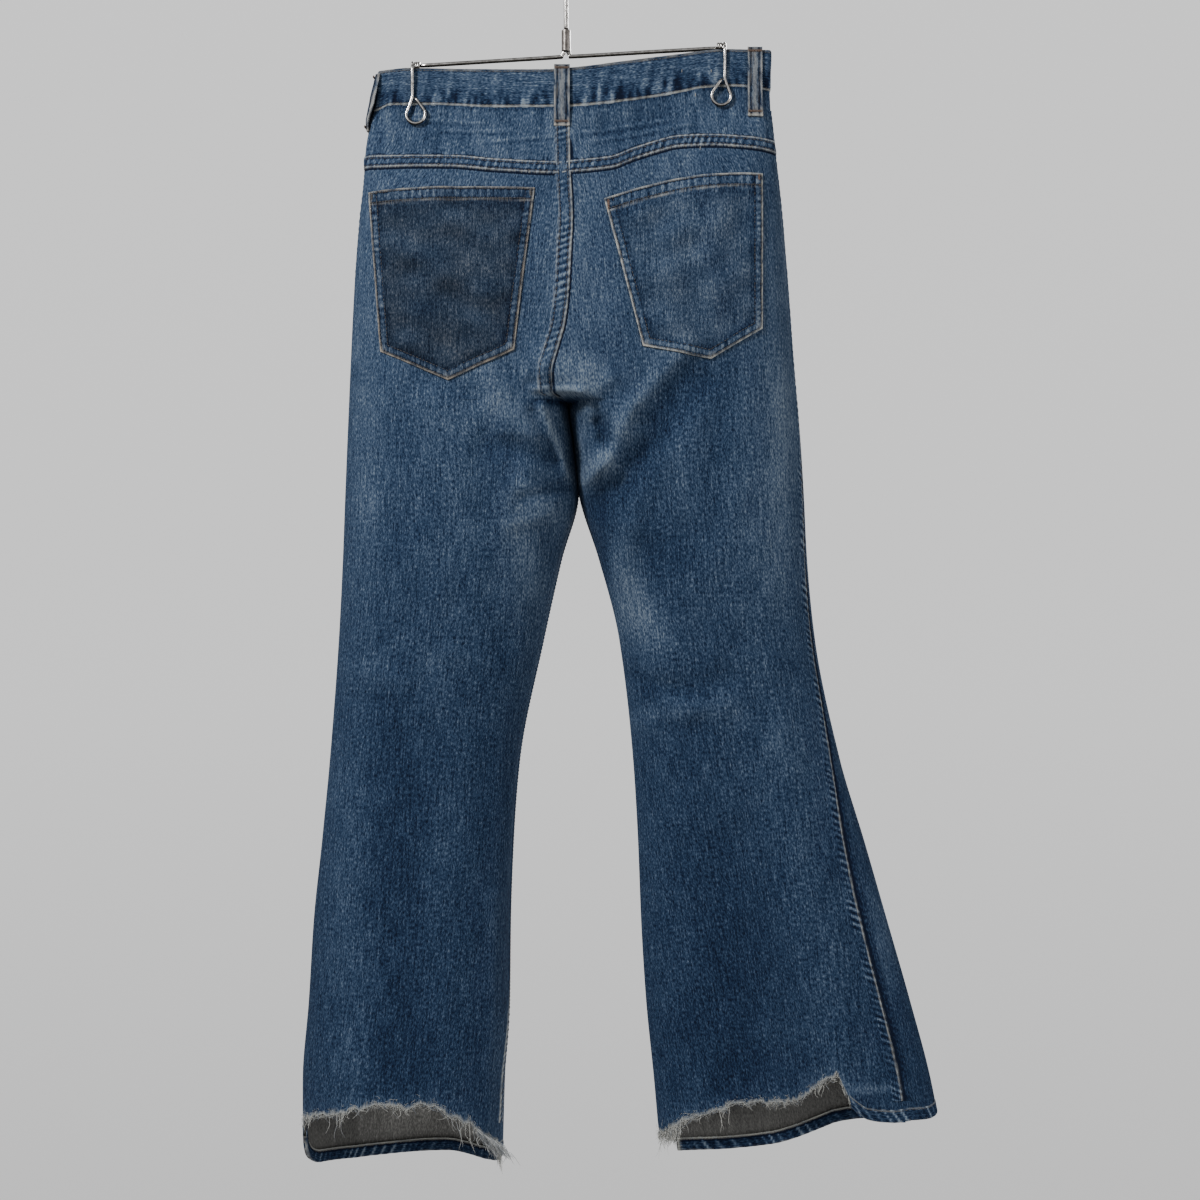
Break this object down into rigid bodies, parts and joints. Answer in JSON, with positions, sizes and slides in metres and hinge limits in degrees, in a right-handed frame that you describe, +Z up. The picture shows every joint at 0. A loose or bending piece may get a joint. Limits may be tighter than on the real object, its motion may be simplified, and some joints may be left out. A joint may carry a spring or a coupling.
{
  "type": "flared jeans on a wire trouser hanger",
  "caption": "Faded flared denim jeans with back pockets and torn, frayed heel edges, hung flat by the waistband from the clips of a wire hanger.",
  "frame": {"origin": "inside of the hook's crown, where a rail carries the hanger", "axes": "+Z up; the back of the jeans faces -Y, the front +Y; the wearer's right is +X"},
  "size_m": [0.6085, 0.1201, 1.178],
  "materials": {
    "denim": "faded indigo twill, matte, with worn and whiskered lighter areas",
    "thread": "undyed cotton, matte and fluffy",
    "steel": "drawn bright wire",
    "brass": "aged brass"
  },
  "bodies": {
    "root": {"back_left": "denim", "back_right": "denim", "front_left": "denim", "front_right": "denim", "yoke_left": "denim", "yoke_right": "denim", "pocket_facing_left": "denim", "pocket_facing_right": "denim", "hem_left": "denim", "hem_right": "denim", "waistband": "denim", "fly": "denim", "back_pocket_left": "denim", "back_pocket_right": "denim", "loop_centre_back": "denim", "loop_side_left": "denim", "loop_side_right": "denim", "loop_front_left": "denim", "loop_front_right": "denim", "fray_left": "thread", "fray_right": "thread", "zip": "brass", "button": "brass", "hanger_hook": "steel", "hanger_collar": "steel", "hanger_bar": "steel", "hanger_clip_left": "steel", "hanger_clip_right": "steel"}
  },
  "joints": []
}
